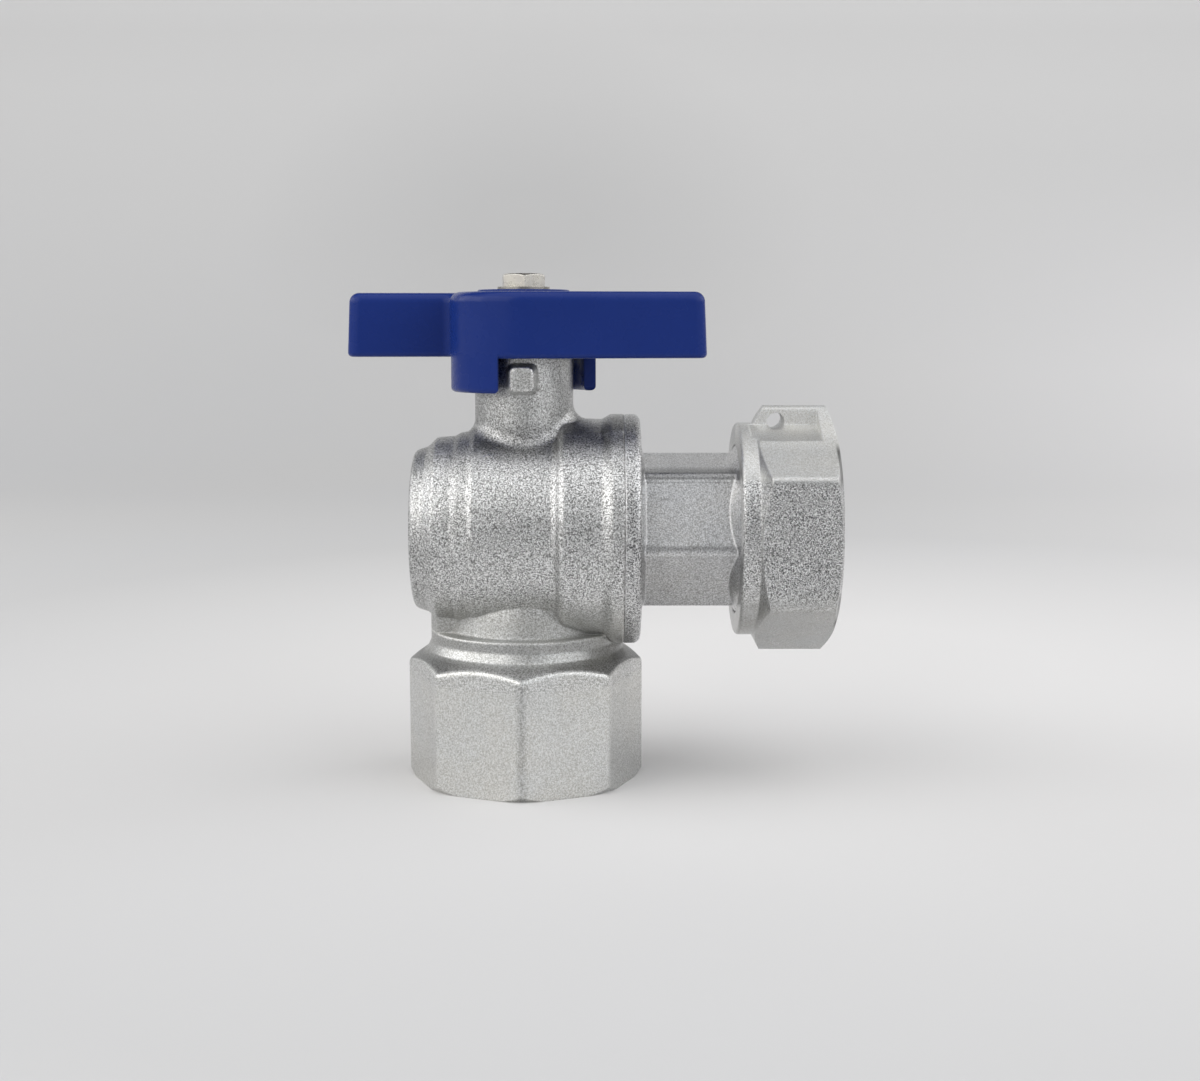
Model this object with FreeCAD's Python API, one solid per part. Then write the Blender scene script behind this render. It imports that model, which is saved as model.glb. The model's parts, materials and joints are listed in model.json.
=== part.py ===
# Angle ball valve, DN20, for a water meter, drawn in millimetres.
# The origin is the centre of the inlet socket's bottom face.
# +Z is up along the stem, and +X points out of the union nut.
# The handle is drawn in the open position.

import FreeCAD, Part
import math
import os

# Pipe thread G1, used at the inlet and in the union nut.
thread_major_radius = 33.249 / 2
thread_minor_radius = 30.291 / 2
thread_entry_depth = 0.6
thread_entry_angle = 60.0

# Clearances.
running_clearance = 0.05
loose_clearance = 0.1
gland_clearance = 0.02
swivel_clearance = 0.1
chamber_clearance = 0.35

# Water way and ball.
axis_height = 43.5
bore_radius = 9.75
ball_radius = 14.75
ball_port_inset = 0.25
slot_width = 5.0
slot_depth = 2.75

# Inlet socket, an octagon with a round shoulder above it.
socket_flats = 38.0
socket_height = 20.4
socket_edge_round = 1.5
socket_top_round = 1.2
socket_foot_chamfer = 1.17
socket_foot_angle = 45.0
socket_turn = -90.0
shoulder_rise = 2.5
shoulder_inset = 1.9
shoulder_land = 1.5
throat_inset = 2.55
throat_height = 1.9
waist_foot_wall = 4.4
waist_wall = 3.05
waist_rise = 5.2
inlet_thread_length = 16.6
web_half_width = 7.0
lip_round = 0.3
casting_round = 0.6

# Ball seats.
seat_width = 3.05
seat_lip = 0.8
seat_length = 4.8

# Barrel's closed end and main zone, as walls around what they hold.
rear_recess_gap = 0.65
rear_wall = 3.6
rear_boss_wall = 4.1
rear_boss_length = 2.4
rear_boss_rise = 0.8
rear_edge_round = 1.2
second_step_gap = 1.6
second_step_wall = 3.15
second_step_length = 3.1
second_step_rise = 0.25
third_step_wall = 3.95
third_step_run = 0.9
third_step_length = 2.9
third_step_rise = 0.35
main_zone_run = 0.7
barrel_wall = 2.4
barrel_round = 1.2

# Barrel's open end, and the joint with the end connector.
joint_floor_step = 0.8
joint_thread_step = 1.9
joint_thread_depth = 7.7
thread_zone_lead = 3.95
thread_zone_run = 1.1
thread_zone_wall = 2.3
thread_zone_dip = 0.2
body_flange_wall = 2.95
body_flange_length = 3.65
body_flange_run = 1.5
joint_seal_section = 1.4
joint_seal_offset = 1.9
seam_chamfer = 0.15

# Neck and stem.
stem_radius = 4.5
neck_wall = 3.93
neck_height = 31.7
neck_fillet = 2.8
soft_slope_length = 5.0
collar_step = 1.8
collar_gap = 0.75
collar_thickness = 2.35
thrust_washer_thickness = 1.0
shoulder_gap = 0.8
square_inset = 1.35
square_setback = 0.4
square_turn = 45.0
tongue_inset = 0.8
tongue_end_gap = 0.1
stem_seal_section = 1.2
stem_seal_first = 3.1
stem_seal_pitch = 4.0
groove_side_gap = 0.25

# Stop lugs, one at the front and one at the rear of the neck.
lug_below_top = 3.4
lug_height = 4.2
lug_half_width = 2.05
lug_overlap = 0.9
lug_draft = 0.65
lug_corner_round = 1.2
lug_edge_round = 0.6

# Handle.
handle_drop = 2.0
handle_height = 11.1
handle_half_length = 31.1
handle_end_draft = 0.5
skirt_gap = 2.12
skirt_wall = 2.0
skirt_length = 5.8
skirt_round = 0.8
stop_clearance = 0.2
open_side_spare = 1.45
wing_front_angle = 8.0
wing_back_angle = 3.8
wing_tip_back = 3.6
wing_root_fillet = 2.0
wing_tip_round = 2.0
handle_top_round = 1.7
handle_bottom_round = 0.75
boss_inset = 4.7
boss_height = 0.4
boss_round = 0.3

# Handle screw, M4, and its washer.
screw_radius = 2.0
screw_head_flats = 7.0
screw_head_height = 2.25
screw_head_turn = 96.0
screw_crown_inset = 0.35
screw_crown_slope = 0.5
screw_length = 8.0
screw_hole_spare = 1.5
washer_radius = 4.5
washer_thickness = 0.5

# End connector.
connector_flange_step = 0.05
connector_flange_thickness = 2.9
connector_flange_round = 1.2
connector_wall = 2.2
connector_hex_turn = -11.0
connector_hex_length = 14.2
connector_hex_round = 1.2
connector_collar_height = 3.05
connector_collar_length = 0.7
flare_length = 1.9
tail_inset = 0.545
tail_length = 5.2

# Union nut with its wire ring and gasket.
nut_overlap = 5.5
nut_length = 16.7
nut_flats = 37.65
nut_turn = 88.0
nut_edge_round = 1.5
nut_face_inset = 0.885
nut_front_angle = 20.0
nut_rear_angle = 28.0
nut_collar_inset = 0.375
nut_collar_length = 3.0
relief_lead = 0.3
ring_wire = 1.44
ring_offset = 2.6
ring_gap_angle = 24.0
gasket_thickness = 2.5
gasket_outer_gap = 0.245
gasket_inner_gap = 0.45

# Notch and hole for a seal wire, on the nut's upper front flat.
notch_lead = 0.9
notch_setback = 2.8
notch_wall = 2.0
notch_depth = 2.75
notch_width = 8.0
seal_hole_radius = 1.5
seal_hole_offset = 3.8
seal_hole_drop = 0.05

# Lengths that only have to reach past a face, and the tolerance and samples for finding edges.
past = 1.0
far = 200.0
close = 1e-3
edge_samples = 5

# Radii and positions along the barrel that follow from the sizes above.
entry_slope = math.tan(math.radians(thread_entry_angle))
chamber_radius = ball_radius + chamber_clearance
ball_port_radius = bore_radius - ball_port_inset
rear_recess_radius = ball_port_radius
seat_outer_radius = bore_radius + seat_width
seat_front = math.sqrt(ball_radius ** 2 - (seat_outer_radius - seat_lip) ** 2)
seat_back = seat_front + seat_length
rear_recess_depth = ball_radius + rear_recess_gap
barrel_rear = -rear_recess_depth - rear_wall
rear_boss_front = barrel_rear + rear_boss_length
rear_boss_radius = rear_recess_radius + rear_boss_wall
second_step_rear = rear_boss_front + second_step_gap
second_step_radius = seat_outer_radius + second_step_wall
third_step_rear = second_step_rear + second_step_length
third_step_radius = seat_outer_radius + third_step_wall
main_zone_rear = third_step_rear + third_step_length
main_zone_radius = chamber_radius + barrel_wall
joint_floor = seat_front + joint_floor_step
joint_thread_radius = chamber_radius + joint_thread_step
body_face = joint_floor + joint_thread_depth
thread_zone_rear = joint_floor - thread_zone_lead
thread_zone_radius = joint_thread_radius + thread_zone_wall
body_flange_rear = body_face - body_flange_length
body_flange_radius = joint_thread_radius + body_flange_wall

# Heights and radii of the socket.
socket_corner_radius = socket_flats / 2 / math.cos(math.pi / 8)
socket_foot_radius = socket_corner_radius - socket_foot_chamfer
inlet_thread_end = thread_entry_depth + inlet_thread_length
shoulder_radius = socket_flats / 2 - shoulder_inset
shoulder_top = socket_height + shoulder_rise
shoulder_slope = shoulder_rise / (socket_corner_radius - shoulder_radius)
throat_radius = socket_flats / 2 - throat_inset
throat_bottom = shoulder_top + shoulder_land
throat_top = throat_bottom + throat_height
waist_foot_radius = bore_radius + waist_foot_wall
waist_radius = bore_radius + waist_wall
waist_height = throat_top + waist_rise

# Heights and radii of the stem, the neck and the handle.
neck_radius = stem_radius + running_clearance + neck_wall
neck_top = axis_height + neck_height
collar_radius = stem_radius + collar_step
collar_bottom = axis_height + ball_radius + collar_gap
collar_top = collar_bottom + collar_thickness
thrust_washer_bottom = collar_top + running_clearance
collar_pocket_top = thrust_washer_bottom + thrust_washer_thickness
stem_seal_heights = [collar_pocket_top + stem_seal_first + stem_seal_pitch * index for index in range(2)]
stem_shoulder = neck_top + shoulder_gap
stem_square = 2 * (stem_radius - square_inset)
lug_top = neck_top - lug_below_top
lug_bottom = lug_top - lug_height
skirt_inner_radius = neck_radius + skirt_gap
hub_radius = skirt_inner_radius + skirt_wall
lug_reach = skirt_inner_radius + lug_overlap
lug_root_radius = neck_radius - past
lug_spread = lug_draft * lug_overlap / (lug_reach - lug_root_radius)
skirt_side_gap = lug_half_width + lug_spread + stop_clearance
skirt_front_gap = skirt_side_gap + open_side_spare
handle_bottom = neck_top - handle_drop
handle_top = handle_bottom + handle_height
skirt_bottom = handle_bottom - skirt_length
boss_radius = hub_radius - boss_inset
boss_top = handle_top + boss_height
stem_end = boss_top - square_setback
screw_seat = boss_top + washer_thickness

# Positions and radii of the end connector and the union nut.
connector_nose = joint_floor + loose_clearance
connector_flange_radius = body_flange_radius - connector_flange_step
connector_flange_end = body_face + connector_flange_thickness
connector_hex_radius = bore_radius + connector_wall
connector_hex_start = connector_flange_end + connector_collar_length
connector_hex_end = connector_hex_start + connector_hex_length
tail_radius = thread_minor_radius - tail_inset
tail_start = connector_hex_end + flare_length
tail_end = tail_start + tail_length
nut_rear = tail_end - nut_overlap
nut_front = nut_rear + nut_length
nut_corner_radius = nut_flats / 2 / math.cos(math.pi / 6)
nut_collar_radius = nut_flats / 2 - nut_collar_inset
nut_collar_end = nut_rear + nut_collar_length
nut_hole_radius = tail_radius + swivel_clearance
relief_radius = thread_major_radius + loose_clearance
nut_relief_start = tail_end - relief_lead
nut_thread_start = tail_end + gasket_thickness + swivel_clearance
ring_position = nut_rear + ring_offset
ring_centre_radius = tail_radius + swivel_clearance / 2
ring_groove_half = ring_wire / 2 + running_clearance
gasket_outer_radius = thread_minor_radius - gasket_outer_gap
gasket_inner_radius = bore_radius + gasket_inner_gap
seal_hole_position = nut_collar_end + seal_hole_offset
seal_hole_height = nut_flats / 2 - seal_hole_drop

# Centre radii of the seals, which sit against the outer wall of their glands.
joint_seal_centre_radius = joint_thread_radius - gland_clearance - joint_seal_section / 2
joint_seal_position = body_face - joint_seal_offset
stem_seal_centre_radius = stem_radius + running_clearance - gland_clearance - stem_seal_section / 2


def vector(x, y, z):
    return FreeCAD.Vector(x, y, z)


def unit(a, b):
    length = math.hypot(a, b)
    return a / length, b / length


def outline(points, place):
    """Closed wire through (a, b, corner radius) points, with tangent arcs at the corners."""
    corners = []
    for index, (a, b, radius) in enumerate(points):
        before = points[index - 1]
        after = points[(index + 1) % len(points)]
        back = unit(before[0] - a, before[1] - b)
        ahead = unit(after[0] - a, after[1] - b)
        if radius == 0:
            corners.append(((a, b), None, (a, b)))
            continue
        half = math.acos(back[0] * ahead[0] + back[1] * ahead[1]) / 2
        reach = radius / math.tan(half)
        inward = unit(back[0] + ahead[0], back[1] + ahead[1])
        depth = radius / math.sin(half) - radius
        start = (a + back[0] * reach, b + back[1] * reach)
        middle = (a + inward[0] * depth, b + inward[1] * depth)
        end = (a + ahead[0] * reach, b + ahead[1] * reach)
        corners.append((start, middle, end))
    edges = []
    for index, (start, middle, end) in enumerate(corners):
        previous_end = corners[index - 1][2]
        if math.dist(previous_end, start) > close:
            edges.append(Part.makeLine(place(*previous_end), place(*start)))
        if middle is not None:
            edges.append(Part.Arc(place(*start), place(*middle), place(*end)).toShape())
    return Part.Wire(edges)


def sharp(points):
    return [(a, b, 0) for a, b in points]


def turned_about_stem(points):
    """Solid of revolution about the Z axis from (radius, height, corner radius) points."""
    face = Part.Face(outline(points, lambda radius, height: vector(radius, 0, height)))
    return face.revolve(vector(0, 0, 0), vector(0, 0, 1), 360)


def turned_about_barrel(points):
    """Solid of revolution about the barrel's axis from (x, radius, corner radius) points."""
    face = Part.Face(outline(points, lambda x, radius: vector(x, 0, axis_height + radius)))
    return face.revolve(vector(0, 0, axis_height), vector(1, 0, 0), 360)


def stem_cylinder(radius, bottom, top):
    return Part.makeCylinder(radius, top - bottom, vector(0, 0, bottom))


def barrel_cylinder(radius, start, end):
    return Part.makeCylinder(radius, end - start, vector(start, 0, axis_height), vector(1, 0, 0))


def barrel_tube(inner, outer, start, end):
    return barrel_cylinder(outer, start, end).cut(barrel_cylinder(inner, start, end))


def regular_points(sides, flats, turn, edge_round):
    corner = flats / 2 / math.cos(math.pi / sides)
    angles = [math.radians(turn + 360 / sides * index) for index in range(sides)]
    return [(corner * math.cos(angle), corner * math.sin(angle), edge_round) for angle in angles]


def upright_prism(sides, flats, turn, edge_round, bottom, top):
    points = regular_points(sides, flats, turn, edge_round)
    wire = outline(points, lambda a, b: vector(a, b, bottom))
    return Part.Face(wire).extrude(vector(0, 0, top - bottom))


def barrel_prism(sides, flats, turn, edge_round, start, end):
    """Prism along the barrel's axis. Its corners are counted from the front, -Y, upward."""
    points = regular_points(sides, flats, turn, edge_round)
    wire = outline(points, lambda front, up: vector(start, -front, axis_height + up))
    return Part.Face(wire).extrude(vector(end - start, 0, 0))


def block(x_range, y_range, z_range):
    size = [high - low for low, high in (x_range, y_range, z_range)]
    return Part.makeBox(*size, vector(x_range[0], y_range[0], z_range[0]))


def half_turn(shape):
    copy = shape.copy()
    copy.rotate(vector(0, 0, 0), vector(0, 0, 1), 180)
    return copy


def edges_where(shape, test):
    """Edges whose points all pass the test."""
    chosen = []
    for edge in shape.Edges:
        if all(test(point) for point in edge.discretize(edge_samples)):
            chosen.append(edge)
    return chosen


def ball_sphere(clearance):
    return Part.makeSphere(ball_radius + clearance, vector(0, 0, axis_height))


def cone_height(radius):
    """Height of the cone on top of the socket at a radius."""
    return shoulder_top - (radius - shoulder_radius) * shoulder_slope


def rounded_rim(socket):
    """Socket with the edges between its flats and the cone above them rounded."""
    def on_rim(point):
        radius = math.hypot(point.x, point.y)
        return radius > socket_flats / 2 - close and abs(point.z - cone_height(radius)) < close

    return socket.makeFillet(socket_top_round, edges_where(socket, on_rim))


def socket_casting():
    """Octagon socket with chamfered foot and shoulder, and the waist that joins the barrel."""
    rim = socket_corner_radius + past
    foot_rise = (rim - socket_foot_radius) * math.tan(math.radians(socket_foot_angle))
    turned = turned_about_stem([
        (0, 0, 0),
        (socket_foot_radius, 0, 0),
        (rim, foot_rise, 0),
        (rim, cone_height(rim), 0),
        (shoulder_radius, shoulder_top, casting_round),
        (throat_radius, throat_bottom, casting_round),
        (throat_radius, throat_top, lip_round),
        (waist_foot_radius, throat_top, casting_round),
        (waist_radius, waist_height, 0),
        (waist_radius, axis_height - past, 0),
        (0, axis_height - past, 0),
    ])
    octagon = upright_prism(8, socket_flats, socket_turn, socket_edge_round, 0, axis_height)
    socket = rounded_rim(turned.common(octagon))
    web_cylinder = stem_cylinder(throat_radius, throat_bottom, axis_height - web_half_width)
    web_box = block((-far, -seat_front), (-web_half_width, web_half_width), (0, far))
    return socket.fuse(web_cylinder.common(web_box))


def barrel_casting():
    """Stepped barrel, turned about the outlet's axis."""
    return turned_about_barrel([
        (barrel_rear, 0, 0),
        (barrel_rear, rear_boss_radius, rear_edge_round),
        (rear_boss_front, rear_boss_radius + rear_boss_rise, casting_round),
        (second_step_rear, second_step_radius, casting_round),
        (third_step_rear, second_step_radius + second_step_rise, casting_round),
        (third_step_rear + third_step_run, third_step_radius, casting_round),
        (main_zone_rear, third_step_radius + third_step_rise, casting_round),
        (main_zone_rear + main_zone_run, main_zone_radius, casting_round),
        (thread_zone_rear, main_zone_radius, barrel_round),
        (thread_zone_rear + thread_zone_run, thread_zone_radius, barrel_round),
        (body_flange_rear, thread_zone_radius - thread_zone_dip, barrel_round),
        (body_flange_rear + body_flange_run, body_flange_radius, barrel_round),
        (body_face - seam_chamfer, body_flange_radius, 0),
        (body_face, body_flange_radius - seam_chamfer, 0),
        (body_face, 0, 0),
    ])


def soft_barrel():
    """Barrel with gentle slopes for its steps, just under the casting, for the neck's blend to run over."""
    slope_start = thread_zone_rear + thread_zone_run
    return turned_about_barrel([
        (second_step_rear, 0, 0),
        (second_step_rear, second_step_radius, 0),
        (third_step_rear, second_step_radius + second_step_rise, barrel_round),
        (main_zone_rear + 2 * main_zone_run, main_zone_radius, barrel_round),
        (slope_start, main_zone_radius, barrel_round),
        (slope_start + soft_slope_length, thread_zone_radius - thread_zone_dip, barrel_round),
        (body_flange_rear, thread_zone_radius - thread_zone_dip, 0),
        (body_flange_rear, 0, 0),
    ])


def neck():
    """Neck of the stem with its root blended into the barrel."""
    joined = soft_barrel().fuse(stem_cylinder(neck_radius, axis_height, neck_top))

    def on_root(point):
        on_neck = abs(math.hypot(point.x, point.y) - neck_radius) < close
        return on_neck and point.z < axis_height + body_flange_radius

    blended = joined.makeFillet(neck_fillet, edges_where(joined, on_root))
    reach = neck_radius + neck_fillet + past
    return blended.common(block((-reach, reach), (-reach, reach), (axis_height + past, far)))


def stop_lug():
    """Drafted lug at the front of the neck that stops the handle's skirt."""
    def section(distance, spread):
        half = lug_half_width + spread
        points = sharp([
            (-half, lug_bottom - spread),
            (half, lug_bottom - spread),
            (half, lug_top + spread),
            (-half, lug_top + spread),
        ])
        return outline(points, lambda x, z: vector(x, -distance, z))

    lug = Part.makeLoft([section(lug_root_radius, lug_draft), section(lug_reach, 0)], True)
    corners = [edge for edge in lug.Edges if abs(edge.Vertexes[0].Y - edge.Vertexes[-1].Y) > past]
    lug = lug.makeFillet(lug_corner_round, corners)
    front = edges_where(lug, lambda point: point.y < close - lug_reach)
    return lug.makeFillet(lug_edge_round, front)


def body_cavities():
    """Everything that is drilled and turned out of the casting."""
    inlet = turned_about_stem(sharp([
        (0, -past),
        (thread_minor_radius + (thread_entry_depth + past) * entry_slope, -past),
        (thread_minor_radius, thread_entry_depth),
        (thread_minor_radius, inlet_thread_end),
        (bore_radius, inlet_thread_end),
        (bore_radius, axis_height),
        (0, axis_height),
    ]))
    chamber = turned_about_barrel(sharp([
        (-rear_recess_depth, 0),
        (-rear_recess_depth, rear_recess_radius),
        (-seat_back, rear_recess_radius),
        (-seat_back, seat_outer_radius + running_clearance),
        (-seat_front, seat_outer_radius + running_clearance),
        (-seat_front, chamber_radius),
        (joint_floor, chamber_radius),
        (joint_floor, joint_thread_radius),
        (body_face + past, joint_thread_radius),
        (body_face + past, 0),
    ]))
    stem_bore = stem_cylinder(stem_radius + running_clearance, axis_height, neck_top + past)
    collar_pocket = stem_cylinder(collar_radius + loose_clearance, axis_height, collar_pocket_top)
    return [inlet, chamber, stem_bore, collar_pocket]


def valve_body():
    lug = stop_lug()
    casting = barrel_casting().fuse([neck(), socket_casting(), lug, half_turn(lug)])
    return casting.cut(body_cavities()).removeSplitter()


def ball():
    """Chromed ball: an L-shaped water way and the slot that the stem turns."""
    down = stem_cylinder(ball_port_radius, 0, axis_height)
    side = barrel_cylinder(ball_port_radius, 0, far)
    elbow = Part.makeSphere(ball_port_radius, vector(0, 0, axis_height))
    half = slot_width / 2
    slot = block((-half, half), (-far, far), (axis_height + ball_radius - slot_depth, far))
    return ball_sphere(0).cut([down, side, elbow, slot])


def seat_ring(start, end):
    ring = barrel_tube(bore_radius, seat_outer_radius, start, end)
    return ring.cut(ball_sphere(gland_clearance))


def barrel_o_ring(centre_radius, section, position):
    return Part.makeTorus(centre_radius, section / 2, vector(position, 0, axis_height), vector(1, 0, 0))


def body_joint_o_ring():
    return barrel_o_ring(joint_seal_centre_radius, joint_seal_section, joint_seal_position)


def end_connector():
    """Screwed-in connector: nose with the seat's pocket, flange, hexagon neck, flare and tail."""
    nose_radius = joint_thread_radius - loose_clearance
    inside_hex = connector_hex_radius - past
    turned = turned_about_barrel([
        (connector_nose, 0, 0),
        (connector_nose, nose_radius, 0),
        (body_face, nose_radius, 0),
        (body_face, connector_flange_radius - seam_chamfer, 0),
        (body_face + seam_chamfer, connector_flange_radius, 0),
        (connector_flange_end, connector_flange_radius, connector_flange_round),
        (connector_flange_end, connector_hex_radius + connector_collar_height, 0),
        (connector_hex_start, connector_hex_radius + past, 0),
        (connector_hex_start, inside_hex, 0),
        (connector_hex_end, inside_hex, 0),
        (connector_hex_end, connector_hex_radius, 0),
        (tail_start, tail_radius, casting_round),
        (tail_end, tail_radius, 0),
        (tail_end, 0, 0),
    ])
    hexagon = barrel_prism(6, 2 * connector_hex_radius, connector_hex_turn, connector_hex_round,
                           connector_flange_end - past, tail_start)
    gland_half = joint_seal_section / 2 + groove_side_gap
    gland_floor = joint_seal_centre_radius - joint_seal_section / 2 - gland_clearance
    gland = barrel_tube(gland_floor, far, joint_seal_position - gland_half, joint_seal_position + gland_half)
    ring_floor = ring_centre_radius - ring_wire / 2 - gland_clearance
    ring_groove = barrel_tube(ring_floor, far, ring_position - ring_groove_half, ring_position + ring_groove_half)
    bore = barrel_cylinder(bore_radius, 0, far)
    seat_pocket = barrel_cylinder(seat_outer_radius + running_clearance, 0, seat_back)
    ball_room = ball_sphere(chamber_clearance)
    solid = turned.fuse(hexagon).cut([bore, seat_pocket, ball_room])
    return solid.cut([gland, ring_groove]).removeSplitter()


def stem_o_ring(height):
    return Part.makeTorus(stem_seal_centre_radius, stem_seal_section / 2, vector(0, 0, height))


def stem():
    """Stem with its tongue, anti-blow-out collar, two seal grooves and square end."""
    slot_floor = axis_height + ball_radius - slot_depth
    half_thickness = slot_width / 2 - running_clearance
    half_length = collar_radius - tongue_inset
    tongue = block((-half_thickness, half_thickness), (-half_length, half_length),
                   (slot_floor + tongue_end_gap, collar_bottom))
    collar = stem_cylinder(collar_radius, collar_bottom, collar_top)
    shaft = stem_cylinder(stem_radius, collar_bottom, stem_shoulder)
    square = upright_prism(4, stem_square, square_turn, 0, stem_shoulder, stem_end)
    square_end = square.common(stem_cylinder(stem_radius, stem_shoulder, stem_end))
    groove_floor = stem_seal_centre_radius - stem_seal_section / 2 - gland_clearance
    groove_half = stem_seal_section / 2 + groove_side_gap
    grooves = []
    for height in stem_seal_heights:
        low = height - groove_half
        high = height + groove_half
        grooves.append(stem_cylinder(far, low, high).cut(stem_cylinder(groove_floor, low, high)))
    hole_bottom = screw_seat - screw_length - screw_hole_spare
    screw_hole = stem_cylinder(screw_radius + gland_clearance, hole_bottom, stem_end)
    return tongue.fuse([collar, shaft, square_end]).cut(grooves + [screw_hole]).removeSplitter()


def stem_thrust_washer():
    outer = stem_cylinder(collar_radius + running_clearance, thrust_washer_bottom, collar_pocket_top)
    return outer.cut(stem_cylinder(stem_radius + loose_clearance, 0, neck_top))


def wing():
    """Right wing: its front face is tangent to the hub, its rear face slopes to the tip."""
    front_slope = math.radians(wing_front_angle)
    tangent_x = hub_radius * math.sin(front_slope)
    tangent_y = -hub_radius * math.cos(front_slope)
    tip_front = tangent_y + (handle_half_length - tangent_x) * math.tan(front_slope)
    root_back = -wing_tip_back - handle_half_length * math.tan(math.radians(wing_back_angle))
    points = sharp([
        (tangent_x, tangent_y),
        (handle_half_length, tip_front),
        (handle_half_length, -wing_tip_back),
        (0, root_back),
    ])
    wire = outline(points, lambda x, y: vector(x, y, handle_bottom))
    return Part.Face(wire).extrude(vector(0, 0, handle_top - handle_bottom))


def skirt():
    """Two ring segments under the hub whose end faces meet the stop lugs."""
    ring = stem_cylinder(hub_radius, skirt_bottom, handle_bottom + handle_bottom_round)
    ring = ring.cut(stem_cylinder(skirt_inner_radius, skirt_bottom, handle_top))
    corner = block((-far, -skirt_front_gap), (-far, -skirt_side_gap), (0, far))
    segment = ring.common(corner).Solids[0]
    lower = edges_where(segment, lambda point: point.z < skirt_bottom + close)
    segment = segment.makeFillet(skirt_round, lower)
    return segment, half_turn(segment)


def upright(edge):
    ends = [vertex.Point for vertex in edge.Vertexes]
    return abs(ends[0].z - ends[-1].z) > past


def at_tip(point):
    return abs(point.x) > handle_half_length - handle_end_draft - close


def at_root(point):
    on_hub = abs(math.hypot(point.x, point.y) - hub_radius) < close
    return on_hub and abs(point.y) < hub_radius / 2


def handle_block():
    """Hub and both wings with drafted tips and rounded edges."""
    right = wing()
    solid = stem_cylinder(hub_radius, handle_bottom, handle_top).fuse([right, half_turn(right)])
    solid = solid.removeSplitter()
    draft_points = sharp([
        (-handle_half_length, handle_bottom),
        (handle_half_length, handle_bottom),
        (handle_half_length - handle_end_draft, handle_top),
        (handle_end_draft - handle_half_length, handle_top),
    ])
    draft_wire = outline(draft_points, lambda x, z: vector(x, -far, z))
    solid = solid.common(Part.Face(draft_wire).extrude(vector(0, 2 * far, 0))).Solids[0]
    tips = [edge for edge in edges_where(solid, at_tip) if upright(edge)]
    solid = solid.makeFillet(wing_tip_round, tips)
    roots = [edge for edge in edges_where(solid, at_root) if upright(edge)]
    solid = solid.makeFillet(wing_root_fillet, roots)
    top = edges_where(solid, lambda point: point.z > handle_top - close)
    solid = solid.makeFillet(handle_top_round, top)
    bottom = edges_where(solid, lambda point: point.z < handle_bottom + close)
    return solid.makeFillet(handle_bottom_round, bottom)


def handle():
    """Butterfly handle that sits on the stem's shoulder."""
    boss = turned_about_stem([
        (0, handle_top - past, 0),
        (boss_radius, handle_top - past, 0),
        (boss_radius, boss_top, boss_round),
        (0, boss_top, 0),
    ])
    front_segment, rear_segment = skirt()
    solid = handle_block().fuse([boss, front_segment, rear_segment])
    cavity = stem_cylinder(skirt_inner_radius, skirt_bottom - past, stem_shoulder)
    square_hole = upright_prism(4, stem_square + 2 * running_clearance, square_turn, 0, skirt_bottom, far)
    return solid.cut([cavity, square_hole]).removeSplitter()


def handle_washer():
    ring = stem_cylinder(washer_radius, boss_top, screw_seat)
    return ring.cut(stem_cylinder(screw_radius + loose_clearance, boss_top, screw_seat))


def handle_screw():
    """Hexagon screw with a chamfered head, one corner nearly at the front when open."""
    head_top = screw_seat + screw_head_height
    rim = screw_head_flats
    crown_radius = screw_head_flats / 2 - screw_crown_inset
    head = upright_prism(6, screw_head_flats, screw_head_turn, 0, screw_seat, head_top)
    crown = turned_about_stem(sharp([
        (0, screw_seat),
        (rim, screw_seat),
        (rim, head_top - (rim - crown_radius) * screw_crown_slope),
        (crown_radius, head_top),
        (0, head_top),
    ]))
    shank = stem_cylinder(screw_radius, screw_seat - screw_length, screw_seat)
    return head.common(crown).fuse(shank).removeSplitter()


def nut_retaining_ring():
    """Split wire ring, half in the tail's groove and half in the nut's."""
    section_centre = vector(ring_position, 0, axis_height + ring_centre_radius)
    section = Part.Wire(Part.makeCircle(ring_wire / 2, section_centre, vector(0, 1, 0)))
    axis_point = vector(0, 0, axis_height)
    half_gap = ring_gap_angle / 2
    section.rotate(axis_point, vector(1, 0, 0), half_gap)
    return Part.Face(section).revolve(axis_point, vector(1, 0, 0), 360 - ring_gap_angle)


def union_gasket():
    return barrel_tube(gasket_inner_radius, gasket_outer_radius, tail_end, tail_end + gasket_thickness)


def seal_notch():
    """Wedge-shaped notch in the nut's upper front flat, and the wire hole through its corner."""
    flat_angle = math.radians(nut_turn - 30)

    def flat_height(front):
        return (nut_flats / 2 - front * math.cos(flat_angle)) / math.sin(flat_angle)

    points = sharp([
        (notch_wall, flat_height(notch_wall) + past),
        (notch_wall, flat_height(notch_wall) - notch_depth),
        (notch_wall + notch_width, flat_height(notch_wall + notch_width)),
        (notch_wall + notch_width, flat_height(notch_wall + notch_width) + past),
    ])
    notch_rear = nut_collar_end - notch_lead
    wire = outline(points, lambda front, up: vector(notch_rear, -front, axis_height + up))
    wedge = Part.Face(wire).extrude(vector(nut_front - notch_setback - notch_rear, 0, 0))
    hole_start = vector(seal_hole_position, -far / 2, axis_height + seal_hole_height)
    hole = Part.makeCylinder(seal_hole_radius, far, hole_start, vector(0, 1, 0))
    return [wedge, hole]


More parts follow.
